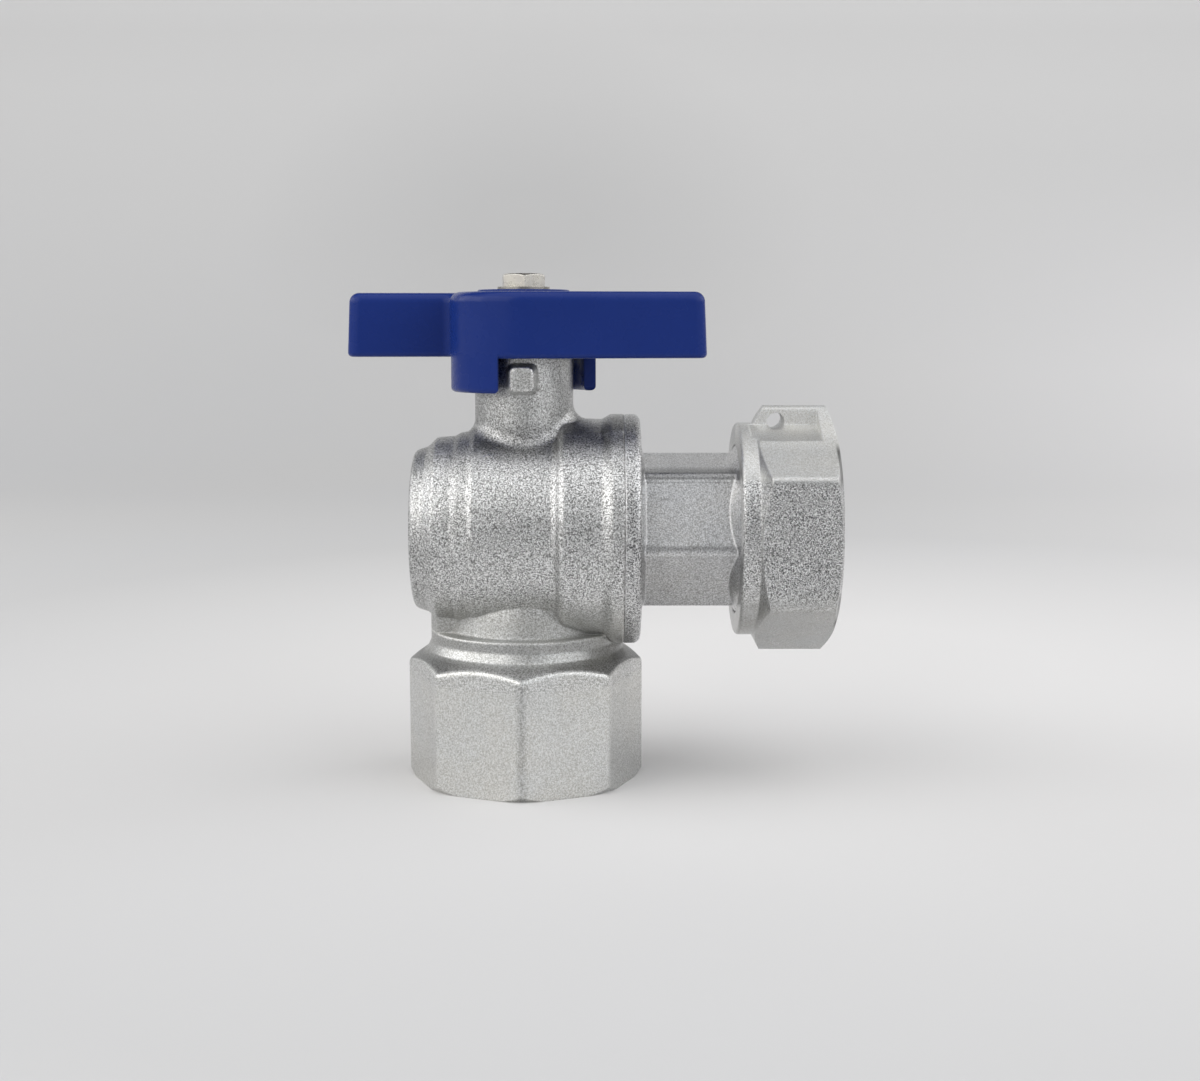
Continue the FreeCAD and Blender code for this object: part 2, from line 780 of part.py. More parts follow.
def union_nut():
    """Hexagon nut with a round collar at the back, a ring groove and the union's thread bore."""
    rim = nut_corner_radius + past
    rear_slope = math.tan(math.radians(nut_rear_angle))
    front_slope = math.tan(math.radians(nut_front_angle))
    end_radius = nut_flats / 2 - nut_face_inset
    turned = turned_about_barrel([
        (nut_rear, 0, 0),
        (nut_rear, nut_collar_radius, casting_round),
        (nut_collar_end, nut_collar_radius, 0),
        (nut_collar_end + (rim - nut_collar_radius) * rear_slope, rim, 0),
        (nut_front - (rim - end_radius) * front_slope, rim, 0),
        (nut_front, end_radius, 0),
        (nut_front, 0, 0),
    ])
    hexagon = barrel_prism(6, nut_flats, nut_turn, nut_edge_round, nut_rear - past, nut_front + past)
    groove_radius = ring_centre_radius + ring_wire / 2 + gland_clearance + running_clearance
    inside = turned_about_barrel(sharp([
        (nut_rear - past, 0),
        (nut_rear - past, nut_hole_radius),
        (ring_position - ring_groove_half, nut_hole_radius),
        (ring_position - ring_groove_half, groove_radius),
        (ring_position + ring_groove_half, groove_radius),
        (ring_position + ring_groove_half, nut_hole_radius),
        (nut_relief_start, nut_hole_radius),
        (nut_relief_start, relief_radius),
        (nut_thread_start, relief_radius),
        (nut_thread_start, thread_minor_radius),
        (nut_front - thread_entry_depth, thread_minor_radius),
        (nut_front + past, thread_minor_radius + (thread_entry_depth + past) * entry_slope),
        (nut_front + past, 0),
    ]))
    return turned.common(hexagon).cut([inside] + seal_notch()).removeSplitter()


def pieces():
    lower_height, upper_height = stem_seal_heights
    return {
        "valve_body": valve_body(),
        "ball": ball(),
        "rear_seat": seat_ring(-seat_back, -seat_front),
        "outlet_seat": seat_ring(seat_front, seat_back),
        "body_joint_o_ring": body_joint_o_ring(),
        "end_connector": end_connector(),
        "stem": stem(),
        "stem_thrust_washer": stem_thrust_washer(),
        "stem_o_ring_lower": stem_o_ring(lower_height),
        "stem_o_ring_upper": stem_o_ring(upper_height),
        "handle": handle(),
        "handle_washer": handle_washer(),
        "handle_screw": handle_screw(),
        "union_nut": union_nut(),
        "nut_retaining_ring": nut_retaining_ring(),
        "union_gasket": union_gasket(),
    }


def main():
    os.makedirs("parts", exist_ok=True)
    for name, shape in pieces().items():
        shape.exportStep(f"parts/{name}.step")
        print(name, "solids", len(shape.Solids), "valid", shape.isValid(), "volume", round(shape.Volume, 2))


main()
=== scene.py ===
# Looks for the angle ball valve: finishes, cosmetic detail, studio light and the photograph's view.
# Lengths are metres in the part's own frame, but the steps of the nickel's painted light and shade are in
# millimetres.
# +Z is up the stem and +X points out of the union nut.

import json
import math

import bmesh
import bpy
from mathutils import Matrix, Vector


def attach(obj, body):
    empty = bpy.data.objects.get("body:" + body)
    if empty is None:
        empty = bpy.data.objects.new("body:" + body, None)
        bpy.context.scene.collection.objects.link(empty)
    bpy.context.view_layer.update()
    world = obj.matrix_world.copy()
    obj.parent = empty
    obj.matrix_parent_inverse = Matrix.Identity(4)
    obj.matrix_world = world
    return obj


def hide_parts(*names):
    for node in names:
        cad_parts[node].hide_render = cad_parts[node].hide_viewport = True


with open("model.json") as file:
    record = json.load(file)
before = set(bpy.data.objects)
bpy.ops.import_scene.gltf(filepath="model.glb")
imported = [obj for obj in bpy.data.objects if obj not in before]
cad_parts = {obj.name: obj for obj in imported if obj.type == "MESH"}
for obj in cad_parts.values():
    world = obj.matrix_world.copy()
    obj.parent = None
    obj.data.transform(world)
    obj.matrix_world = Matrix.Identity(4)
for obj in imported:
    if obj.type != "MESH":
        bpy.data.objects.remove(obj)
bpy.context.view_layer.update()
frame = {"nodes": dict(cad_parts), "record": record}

MM = 0.001
MOUNTS = {mount["name"]: mount for mount in frame["record"]["mounts"]}
AXIS_HEIGHT = MOUNTS["union_nut_thread"]["pos_m"][2]


# Camera and stage

CAMERA_PLACE = (11.443 * MM, -290.237 * MM, 78.705 * MM)
CAMERA_PITCH = math.radians(90 - 7.324)
CAMERA_YAW = math.radians(-0.326)
CAMERA_FOCAL_LENGTH = 50.26
SENSOR_WIDTH = 36.0

LIGHT_TARGET = (0.01, 0.0, 0.045)
WORLD_COLOUR = (0.93, 0.94, 0.96, 1)
WORLD_STRENGTH = 0.42


def add_camera():
    data = bpy.data.cameras.new("camera")
    data.sensor_width = SENSOR_WIDTH
    data.lens = CAMERA_FOCAL_LENGTH
    data.clip_start = 0.01
    camera = bpy.data.objects.new("camera", data)
    camera.location = CAMERA_PLACE
    camera.rotation_euler = (CAMERA_PITCH, 0, CAMERA_YAW)
    bpy.context.scene.collection.objects.link(camera)
    bpy.context.scene.camera = camera


def add_area_light(name, place, width, height, watts, colour=(1, 1, 1)):
    data = bpy.data.lights.new(name, "AREA")
    data.shape = "RECTANGLE"
    data.size = width
    data.size_y = height
    data.energy = watts
    data.color = colour
    light = bpy.data.objects.new(name, data)
    light.location = place
    light.rotation_euler = (Vector(LIGHT_TARGET) - Vector(place)).to_track_quat("-Z", "Y").to_euler()
    bpy.context.scene.collection.objects.link(light)


def light_the_stage():
    world = bpy.data.worlds.new("studio")
    world.use_nodes = True
    background = world.node_tree.nodes["Background"]
    background.inputs["Color"].default_value = WORLD_COLOUR
    background.inputs["Strength"].default_value = WORLD_STRENGTH
    bpy.context.scene.world = world
    add_area_light("top", (0.05, -0.12, 0.85), 1.7, 0.9, 3.5)
    add_area_light("key", (-0.62, -0.52, 0.50), 1.05, 0.80, 3.1, (1.0, 0.985, 0.955))
    add_area_light("left", (-0.95, 0.15, 0.50), 0.90, 0.60, 2.6)
    add_area_light("right", (0.64, -0.47, 0.50), 0.80, 0.75, 1.7, (0.97, 0.985, 1.0))
    add_area_light("right_side", (0.95, 0.18, 0.50), 0.90, 0.60, 2.6)


def add_sweep():
    """Pale floor that curves up into a wall behind the object."""
    half_width = 3.0
    front = -1.2
    bend_start = 0.5
    bend_radius = 0.6
    bend_steps = 12
    wall_top = 2.4
    profile = [(front, 0.0), (bend_start, 0.0)]
    for step in range(1, bend_steps + 1):
        angle = math.radians(90 * step / bend_steps)
        profile.append((bend_start + bend_radius * math.sin(angle), bend_radius * (1 - math.cos(angle))))
    profile.append((bend_start + bend_radius, wall_top))
    vertices = [(x, y, z) for y, z in profile for x in (-half_width, half_width)]
    faces = [(2 * i, 2 * i + 1, 2 * i + 3, 2 * i + 2) for i in range(len(profile) - 1)]
    mesh = bpy.data.meshes.new("studio_sweep")
    mesh.from_pydata(vertices, [], faces)
    for polygon in mesh.polygons:
        polygon.use_smooth = True
    sweep = bpy.data.objects.new("studio_sweep", mesh)
    bpy.context.scene.collection.objects.link(sweep)
    return sweep


# Node helpers

class Tree:
    """Short calls for building one material's node tree."""

    def __init__(self, name):
        self.material = bpy.data.materials.new(name)
        self.material.use_nodes = True
        self.nodes = self.material.node_tree.nodes
        self.links = self.material.node_tree.links
        self.shader = self.nodes["Principled BSDF"]
        self.coordinates = self.add("ShaderNodeTexCoord").outputs["Object"]

    def add(self, kind, **settings):
        node = self.nodes.new(kind)
        for key, value in settings.items():
            setattr(node, key, value)
        return node

    def feed(self, socket, value):
        if isinstance(value, bpy.types.NodeSocket):
            self.links.new(value, socket)
        elif value is not None:
            socket.default_value = value

    def vector(self, operation, first, second=None):
        node = self.add("ShaderNodeVectorMath", operation=operation)
        self.feed(node.inputs[0], first)
        self.feed(node.inputs[1], second)
        return node.outputs["Value" if operation in ("LENGTH", "DOT_PRODUCT") else "Vector"]

    def noise(self, size, detail=2.0, roughness=0.5, distortion=0.0, offset=None):
        """Noise whose features are about `size` metres wide, from 0 to 1."""
        place = self.coordinates if offset is None else self.vector("ADD", self.coordinates, offset)
        node = self.add("ShaderNodeTexNoise")
        self.feed(node.inputs["Vector"], place)
        self.feed(node.inputs["Scale"], 1 / size)
        self.feed(node.inputs["Detail"], detail)
        self.feed(node.inputs["Roughness"], roughness)
        self.feed(node.inputs["Distortion"], distortion)
        return node.outputs["Fac"]

    def place(self, axis):
        """Coordinate along one axis, in metres."""
        node = self.add("ShaderNodeSeparateXYZ")
        self.feed(node.inputs[0], self.coordinates)
        return node.outputs[axis]

    def above_axis(self):
        """Height above the outlet's axis, in metres."""
        return self.maths("SUBTRACT", self.place("Z"), AXIS_HEIGHT)

    def from_point(self, centre):
        """Distance from a point, in metres."""
        return self.vector("LENGTH", self.vector("SUBTRACT", self.coordinates, centre))

    def from_stem(self):
        """Distance from the stem's axis, in metres."""
        return self.vector("LENGTH", self.vector("MULTIPLY", self.coordinates, (1.0, 1.0, 0.0)))

    def spread(self, value, low, high, new_low=0.0, new_high=1.0):
        """New range for a value, without going past its ends."""
        node = self.add("ShaderNodeMapRange")
        self.feed(node.inputs["Value"], value)
        self.feed(node.inputs["From Min"], low)
        self.feed(node.inputs["From Max"], high)
        self.feed(node.inputs["To Min"], new_low)
        self.feed(node.inputs["To Max"], new_high)
        return node.outputs["Result"]

    def turn(self, length, start, end, new_start=0.0, new_end=1.0):
        """Goes to a new value as a length goes from start to end, both in millimetres."""
        return self.spread(length, start * MM, end * MM, new_start, new_end)

    def maths(self, operation, first, second=None):
        node = self.add("ShaderNodeMath", operation=operation)
        self.feed(node.inputs[0], first)
        self.feed(node.inputs[1], second)
        return node.outputs[0]

    def off(self, length, middle):
        """Distance of a length from a middle one, which is in millimetres."""
        return self.maths("ABSOLUTE", self.maths("SUBTRACT", length, middle * MM))

    def product(self, first, *others):
        for other in others:
            first = self.maths("MULTIPLY", first, other)
        return first

    def mixture(self, first, second, first_share):
        """Weighted sum of two values."""
        return self.maths("ADD", self.product(first, first_share), self.product(second, 1 - first_share))

    def blend(self, share, first, second):
        """Colour that goes from first to second as share goes from 0 to 1."""
        node = self.add("ShaderNodeMix", data_type="RGBA")
        self.feed(node.inputs["Factor"], share)
        self.feed(node.inputs[6], first if not isinstance(first, tuple) else (*first, 1))
        self.feed(node.inputs[7], second if not isinstance(second, tuple) else (*second, 1))
        return node.outputs[2]

    def bump(self, height, depth, strength=1.0, normal=None):
        node = self.add("ShaderNodeBump")
        self.feed(node.inputs["Height"], height)
        self.feed(node.inputs["Distance"], depth)
        self.feed(node.inputs["Strength"], strength)
        self.feed(node.inputs["Normal"], normal)
        return node.outputs["Normal"]

    def soft_edges(self, radius):
        """Normal with rounded edges, and a mask that is 1 on sharp edges."""
        bevel = self.add("ShaderNodeBevel", samples=4)
        self.feed(bevel.inputs["Radius"], radius)
        geometry = self.add("ShaderNodeNewGeometry")
        likeness = self.vector("DOT_PRODUCT", bevel.outputs["Normal"], geometry.outputs["Normal"])
        return bevel.outputs["Normal"], self.spread(likeness, 1.0, 0.86)

    def set(self, **sockets):
        for name, value in sockets.items():
            if isinstance(value, tuple) and len(value) == 3:
                value = (*value, 1)
            self.feed(self.shader.inputs[name.replace("_", " ")], value)
        return self.material


# Painted light and shade on the nickel: each function gives a colour its painted highlights and shade over
# one piece

BRIGHTEST = 0.97


def shaded(colour, factor):
    return tuple(min(value * factor, BRIGHTEST) for value in colour)


def painted_light_along(tree, length, colour, first, steps):
    """Painted light and shade: colour times a factor that changes along a length; a step is (from, to,
    factor), in millimetres.
    """
    result = shaded(colour, first)
    for start, end, factor in steps:
        result = tree.blend(tree.turn(length, start, end), result, shaded(colour, factor))
    return result


# Painted light and shade on the casting, as factors by height: painted shade on the throat, the waist and
# the top of the barrel, and a painted highlight on the lip of the throat.
CASTING_BELOW = 0.60
CASTING_BY_HEIGHT = [
    (22.2, 22.8, 0.91),  # top of the shoulder
    (24.0, 24.7, 0.76),  # throat
    (25.8, 26.2, 1.22),  # lip of the throat
    (26.4, 26.6, 0.84),  # waist
    (29.0, 33.0, 1.03),  # barrel
    (55.0, 59.0, 0.66),  # top of the barrel
]
# Painted light and shade on the socket across its width: painted highlights on the flats and brightest on
# the rim above them, and a painted shade along the corner between the two front flats.
FLATS_LEFT = 1.16
FLATS_ACROSS = [
    (-15.2, -14.5, 1.38),  # left front flat
    (-1.2, -0.2, 0.96),  # corner between the two front flats
    (0.2, 1.2, 1.36),  # right front flat
    (14.5, 15.2, 1.10),  # right flat
]
FLATS_RIM = 1.60
# Painted light and shade on the barrel along its length: a painted highlight on the middle, and a little
# painted shade on the flange.
BARREL_LEFT = 1.03
BARREL_ALONG = [
    (-8.0, -6.5, 1.09),  # middle, in front of the chamber
    (3.0, 5.0, 1.02),  # ring around the joint
    (12.8, 14.0, 0.96),  # flange
]
# Painted shade on the neck across its width, deepest on its right side.
NECK_LEFT = 0.82
NECK_ACROSS = [(-5.0, -2.0, 0.95), (3.0, 6.0, 0.70)]  # middle, then right side

# The cone over the socket's flats is where height + slope * distance from the stem makes this sum.
CONE_SLOPE = 0.72
CONE_SUM = 35.2 * MM


def socket_painted_light(tree, colour, result, height, across):
    """Painted highlights on the flats under a brighter painted highlight on the rim, and painted shade on
    the right side above them.
    """
    flats = painted_light_along(tree, across, colour, FLATS_LEFT, FLATS_ACROSS)
    past_cone = tree.maths("ADD", height, tree.product(tree.from_stem(), CONE_SLOPE))
    past_cone = tree.maths("SUBTRACT", past_cone, CONE_SUM)
    flats = tree.blend(tree.turn(past_cone, -0.9, -0.3), flats, shaded(colour, FLATS_RIM))
    result = tree.blend(tree.turn(past_cone, -0.05, -0.18), result, flats)
    right = tree.product(
        tree.turn(across, 4.0, 9.0, 0.0, 0.30),
        tree.turn(height, 26.2, 25.8),
        tree.turn(past_cone, -0.18, -0.05))
    return tree.blend(right, result, shaded(colour, 0.35))


def barrel_painted_light(tree, colour, result, height, across):
    """Painted highlight on the middle, and painted shade on the slope behind it and on the left end."""
    middle = tree.product(tree.turn(height, 31.0, 35.0), tree.turn(height, 57.0, 52.0))
    result = tree.blend(middle, result, painted_light_along(tree, across, colour, BARREL_LEFT, BARREL_ALONG))
    slope = tree.product(
        tree.turn(across, -13.5, -12.2),
        tree.turn(across, -8.5, -9.5),
        tree.turn(height, 44.0, 47.0, 0.0, 0.5))
    result = tree.blend(slope, result, shaded(colour, 0.66))
    left_end = tree.product(tree.turn(height, 30.0, 33.0), tree.turn(across, -14.0, -17.5, 0.0, 0.6))
    return tree.blend(left_end, result, shaded(colour, 0.80))


def ring_painted_light(tree, colour, result, height, across):
    """Painted light on the underside of the ring at the barrel's open end, outside the waist and the
    throat.
    """
    outside_waist = tree.product(tree.turn(tree.from_stem(), 14.3, 14.7), tree.turn(height, 26.5, 26.8))
    outside_throat = tree.product(tree.turn(tree.from_stem(), 16.7, 16.9), tree.turn(height, 24.0, 24.3))
    under_ring = tree.product(
        tree.maths("MAXIMUM", outside_waist, outside_throat),
        tree.turn(across, 5.0, 5.6),
        tree.turn(height, 34.0, 31.0))
    return tree.blend(under_ring, result, shaded(colour, 1.22))


def casting_painted_light(tree, colour):
    """Painted highlights on the socket's flats and the front lug, and painted shade on the throat, waist,
    barrel top and neck.
    """
    height = tree.place("Z")
    across = tree.place("X")
    result = painted_light_along(tree, height, colour, CASTING_BELOW, CASTING_BY_HEIGHT)
    result = socket_painted_light(tree, colour, result, height, across)
    result = barrel_painted_light(tree, colour, result, height, across)
    result = ring_painted_light(tree, colour, result, height, across)
    neck = painted_light_along(tree, across, colour, NECK_LEFT, NECK_ACROSS)
    result = tree.blend(tree.turn(height, 61.0, 63.0), result, neck)
    lug = tree.product(tree.turn(height, 60.0, 60.6), tree.turn(tree.place("Y"), -8.9, -9.3))
    return tree.blend(lug, result, shaded(colour, 1.15))


# Painted light and shade on the connector, as factors by height above the axis: painted shade along the
# hexagon's front edges, painted highlights on its flats, and a painted highlight on the flange below.
HEXAGON_BELOW = 0.98
HEXAGON_BY_HEIGHT = [
    (-2.2, -1.9, 0.72),  # lower front edge
    (-1.6, -1.2, 1.26),  # front flat
    (8.8, 8.9, 0.85),  # line under the upper front edge
    (9.0, 9.1, 1.26),
    (9.3, 9.6, 0.54),  # upper front edge
    (10.8, 11.3, 1.13),  # upper flat
]
FLANGE_BELOW = 1.20
FLANGE_BY_HEIGHT = [(-15.0, -8.0, 0.92)]


def connector_painted_light(tree, colour):
    """Painted shade along the hexagon's two front edges with painted light between them, and painted light
    on the flange below.
    """
    height = tree.above_axis()
    hexagon = painted_light_along(tree, height, colour, HEXAGON_BELOW, HEXAGON_BY_HEIGHT)
    flange = painted_light_along(tree, height, colour, FLANGE_BELOW, FLANGE_BY_HEIGHT)
    return tree.blend(tree.turn(tree.place("X"), 20.1, 20.7), flange, hexagon)


# Painted light on the nut, as factors by height above the axis: lighter on the front flat and lightest on
# the upper flat.
NUT_BELOW = 0.92
NUT_BY_HEIGHT = [(-11.2, -10.0, 1.04), (10.0, 11.2, 1.12)]  # front flat, then upper flat
NUT_CORNER_HEIGHT = 12.2


def nut_painted_light(tree, colour):
    """Painted light toward the top, most in the notch, and painted shade where the front end cuts the
    corners.
    """
    height = tree.above_axis()
    result = painted_light_along(tree, height, colour, NUT_BELOW, NUT_BY_HEIGHT)
    notch = tree.product(tree.turn(height, 14.5, 17.0), tree.turn(tree.place("Y"), 1.0, -2.0))
    result = tree.blend(notch, result, shaded(colour, 1.48))
    from_corner = tree.off(tree.maths("ABSOLUTE", height), NUT_CORNER_HEIGHT)
    cut_corner = tree.product(tree.turn(from_corner, 3.5, 2.2), tree.turn(tree.place("X"), 52.25, 52.55))
    return tree.blend(cut_corner, result, shaded(colour, 0.30))


# Grain of the nickel: each function gives its strength over one piece, from 0 to 1

RIM_HEIGHT = 20.2


def casting_grain(tree):
    """Strong grain on the barrel, less on the neck and the rim, least on the socket's flats and waist."""
    height = tree.place("Z")
    barrel = tree.turn(height, 29.0, 34.5, 0.45, 1.0)
    below_neck = tree.turn(height, 60.0, 63.5, 1.0, 0.72)
    rim = tree.turn(tree.off(height, RIM_HEIGHT), 2.2, 1.2, 0.0, 0.22)
    strength = tree.maths("ADD", tree.product(barrel, below_neck), rim)
    return tree.maths("MINIMUM", strength, 1.0)


def connector_grain(tree):
    """Strong grain on the flange, about half as strong on the hexagon."""
    return tree.turn(tree.place("X"), 20.0, 21.2, 1.0, 0.55)


def nut_grain(tree):
    """Strong grain on the flat that faces the front and on its opposite, little on the others."""
    height = tree.above_axis()
    above = tree.turn(height, 9.2, 10.2, 1.0, 0.30)
    below = tree.turn(height, -12.5, -7.5, 0.30, 1.0)
    return tree.maths("MINIMUM", above, below)


# Roughness of the nickel: each function gives what one piece adds to it

def casting_roughness(tree):
    """Rougher between the socket and the barrel, most of all on the waist."""
    height = tree.place("Z")
    shoulder = tree.turn(height, 20.0, 21.2, 0.0, 0.06)
    waist = tree.turn(height, 25.5, 26.5, 0.0, 0.12)
    below_barrel = tree.turn(height, 29.0, 33.0, 0.18, 0.0)
    return tree.maths("MINIMUM", tree.maths("ADD", shoulder, waist), below_barrel)


def connector_roughness(tree):
    """Nothing more than the finish itself has."""
    return 0.0


def nut_roughness(tree):
    """Rougher in the notch at the top."""
    return tree.turn(tree.above_axis(), 13.0, 15.0, 0.0, 0.20)


# Finishes

GRAIN_DEPTH_SHARE = 0.55
CURLED_GRAIN_SIZE = 1.4
FINE_GRAIN_SHARE = 0.6
PIT_LEVEL = 0.39
PEAK_LEVEL = 0.61
WARM = (1.0, 0.985, 0.95)
COOL = (0.97, 0.985, 1.0)
DULL_PATCH = 0.88


def cast_nickel(name, colour, grain_size, mottle, wear_and_highlight, wear_and_highlight_share, painted_light_and_shade, grain, roughness):
    """Nickel over sand-blasted brass: fine sparkling grain, with edges that are smoother and brighter by a
    factor, for wear and a painted highlight, and painted light and shade from the piece's own function.
    """
    tree = Tree(name)
    soft_normal, edge = tree.soft_edges(0.5 * MM)
    cloud = tree.noise(12 * MM, detail=3.0)
    patches = tree.noise(3.5 * MM, detail=3.0, offset=(0.3, 0.1, 0.7))
    # Every colour below passes through the piece's function of painted light and shade.
    warm = painted_light_and_shade(tree, tuple(value * factor for value, factor in zip(colour, WARM)))
    cool = painted_light_and_shade(tree, tuple(value * factor for value, factor in zip(colour, COOL)))
    fine = tree.noise(grain_size, detail=1.0, roughness=0.6)
    curled = tree.noise(CURLED_GRAIN_SIZE * grain_size, detail=0.0, distortion=0.8, offset=(0.7, 0.4, 0.2))
    spots = tree.mixture(fine, curled, FINE_GRAIN_SHARE)
    hue = tree.mixture(cloud, curled, FINE_GRAIN_SHARE)
    base = tree.blend(tree.spread(hue, 0.40, 0.60), warm, cool)
    dull = painted_light_and_shade(tree, shaded(colour, DULL_PATCH))
    base = tree.blend(tree.spread(patches, 0.50, 0.80, 0.0, 0.5), base, dull)
    strength = grain(tree)
    pits = tree.blend(strength, base, painted_light_and_shade(tree, shaded(colour, 1 - mottle)))
    peaks = tree.blend(strength, base, painted_light_and_shade(tree, shaded(colour, 1 + mottle)))
    base = tree.blend(tree.spread(spots, PIT_LEVEL, PEAK_LEVEL), pits, peaks)
    # Brighter sharp edges: wear and a painted highlight.
    base = tree.blend(tree.product(edge, wear_and_highlight_share), base, painted_light_and_shade(tree, shaded(colour, wear_and_highlight)))
    bump_strength = tree.product(strength, tree.spread(edge, 0.0, 1.0, 1.0, 0.5))
    normal = tree.bump(spots, GRAIN_DEPTH_SHARE * grain_size, bump_strength, soft_normal)
    rough = tree.maths("ADD", tree.spread(patches, 0.3, 0.7, 0.27, 0.35), tree.product(edge, 0.10))
    rough = tree.maths("ADD", rough, roughness(tree))
    return tree.set(Base_Color=base, Metallic=1.0, Roughness=rough, Normal=normal)


def blue_paint():
    tree = Tree("blue_paint")
    soft_normal, edge = tree.soft_edges(0.4 * MM)
    cloud = tree.noise(20 * MM, detail=3.0)
    base = tree.blend(tree.spread(cloud, 0.35, 0.65), (0.0078, 0.0272, 0.180), (0.0090, 0.0300, 0.196))
    # Lighter blue on the sharp edges: a painted highlight.
    base = tree.blend(tree.product(edge, 0.25), base, (0.05, 0.09, 0.30))
    peel = tree.noise(1.1 * MM, detail=1.0)
    specks = tree.noise(0.18 * MM, detail=1.0)
    normal = tree.bump(peel, 0.02 * MM, 0.5, soft_normal)
    normal = tree.bump(specks, 0.004 * MM, 0.3, normal)
    rough = tree.spread(tree.noise(4 * MM, detail=2.0), 0.3, 0.7, 0.24, 0.31)
    return tree.set(Base_Color=base, Roughness=rough, Normal=normal, Specular_IOR_Level=0.17,
                    Coat_Weight=0.07, Coat_Roughness=0.10)


def plated_steel(name, tone):
    tree = Tree(name)
    soft_normal, edge = tree.soft_edges(0.15 * MM)
    cloud = tree.noise(1.6 * MM, detail=3.0)
    base = tree.blend(tree.spread(cloud, 0.35, 0.65), shaded((0.75, 0.72, 0.64), tone),
                      shaded((0.67, 0.64, 0.59), tone))
    # Lighter on the sharp edges: a painted highlight.
    base = tree.blend(edge, base, shaded((0.93, 0.91, 0.86), tone))
    marks = tree.noise(0.35 * MM, detail=2.0)
    normal = tree.bump(marks, 0.02 * MM, 0.6, soft_normal)
    rough = tree.spread(tree.noise(0.8 * MM), 0.3, 0.7, 0.22, 0.36)
    return tree.set(Base_Color=base, Metallic=1.0, Roughness=rough, Normal=normal)


def fluoroplastic():
    tree = Tree("fluoroplastic")
    cloud = tree.noise(3 * MM, detail=3.0)
    base = tree.blend(tree.spread(cloud, 0.3, 0.7), (0.80, 0.80, 0.78), (0.74, 0.74, 0.72))
    normal = tree.bump(tree.noise(0.4 * MM), 0.01 * MM, 0.6)
    return tree.set(Base_Color=base, Roughness=0.42, Normal=normal)


def seal_rubber():
    tree = Tree("seal_rubber")
    cloud = tree.noise(2.5 * MM, detail=4.0)
    base = tree.blend(tree.spread(cloud, 0.3, 0.7), (0.016, 0.016, 0.017), (0.030, 0.030, 0.031))
    normal = tree.bump(tree.noise(0.3 * MM, detail=3.0), 0.02 * MM, 0.7)
    rough = tree.spread(cloud, 0.3, 0.7, 0.5, 0.68)
    return tree.set(Base_Color=base, Roughness=rough, Normal=normal)


def chromed_ball():
    tree = Tree("chromed_ball")
    cloud = tree.noise(6 * MM, detail=4.0)
    normal = tree.bump(tree.noise(0.5 * MM, detail=3.0), 0.002 * MM, 0.5)
    base = tree.blend(tree.spread(cloud, 0.3, 0.7), (0.76, 0.76, 0.77), (0.70, 0.70, 0.72))
    return tree.set(Base_Color=base, Metallic=1.0, Roughness=0.08, Normal=normal)


def turned_brass():
    tree = Tree("turned_brass")
    cloud = tree.noise(4 * MM, detail=3.0)
    base = tree.blend(tree.spread(cloud, 0.3, 0.7), (0.72, 0.52, 0.24), (0.62, 0.44, 0.20))
    normal = tree.bump(tree.noise(0.3 * MM, detail=2.0), 0.008 * MM, 0.6)
    return tree.set(Base_Color=base, Metallic=1.0, Roughness=0.28, Normal=normal)


def spring_wire():
    tree = Tree("spring_wire")
    base = tree.blend(tree.noise(1 * MM, detail=3.0), (0.50, 0.50, 0.51), (0.62, 0.61, 0.60))
    normal = tree.bump(tree.noise(0.2 * MM), 0.006 * MM, 0.6)
    return tree.set(Base_Color=base, Metallic=1.0, Roughness=0.30, Normal=normal)


def stage_paper():
    """Pale paper, darker on the floor and lightest halfway up the wall, with painted shade high above and
    far in front for the metal to reflect, painted light on the floor beside the object and to its right,
    and a painted shade on the wall behind the handle.
    """
    tree = Tree("stage_paper")
    height = tree.place("Z")
    cloud = tree.noise(0.25, detail=2.0)
    low = tree.blend(tree.spread(cloud, 0.3, 0.7), (0.655, 0.65, 0.645), (0.645, 0.645, 0.65))
    # Painted light on the floor beside the object, where its shadow falls.
    beside = tree.spread(tree.from_point((0.07, 0.10, 0.0)), 0.24, 0.05)
    low = tree.blend(beside, low, (0.82, 0.81, 0.805))
    base = tree.blend(tree.spread(height, 0.0, 0.25), low, (0.775, 0.77, 0.765))
    base = tree.blend(tree.spread(height, 0.30, 0.50), base, (0.97, 0.97, 0.97))
    # Painted shade high above and far in front, which the metal reflects.
    base = tree.blend(tree.spread(height, 0.80, 1.10), base, (0.08, 0.08, 0.085))
    base = tree.blend(tree.spread(tree.place("Y"), -0.35, -0.55), base, (0.22, 0.22, 0.22))
    # Painted light on the right of the floor and the low wall.
    right_side = tree.product(tree.spread(tree.place("X"), 0.08, 0.45), tree.spread(height, 0.20, 0.05))
    base = tree.blend(right_side, base, (0.84, 0.83, 0.83))
    # Painted shade on the wall behind the handle.
    painted_shade_behind_handle = tree.spread(tree.from_point((-0.03, 0.90, 0.145)), 0.20, 0.04, 0.0, 0.42)
    base = tree.blend(painted_shade_behind_handle, base, (0.55, 0.55, 0.55))
    return tree.set(Base_Color=base, Roughness=0.9, Specular_IOR_Level=0.1)


# Pipe threads

THREAD_PITCH = 2.309 * MM
THREAD_DEPTH = 1.479 * MM
THREAD_CREST_RADIUS = MOUNTS["inlet_thread"]["dims"]["r_mm"] * MM
THREAD_ROWS_PER_TURN = 14
SAME_RADIUS = 0.002 * MM
SAME_PLACE = 0.001 * MM
ANGLE_DIGITS = 4
SAME_ANGLE = 1e-3


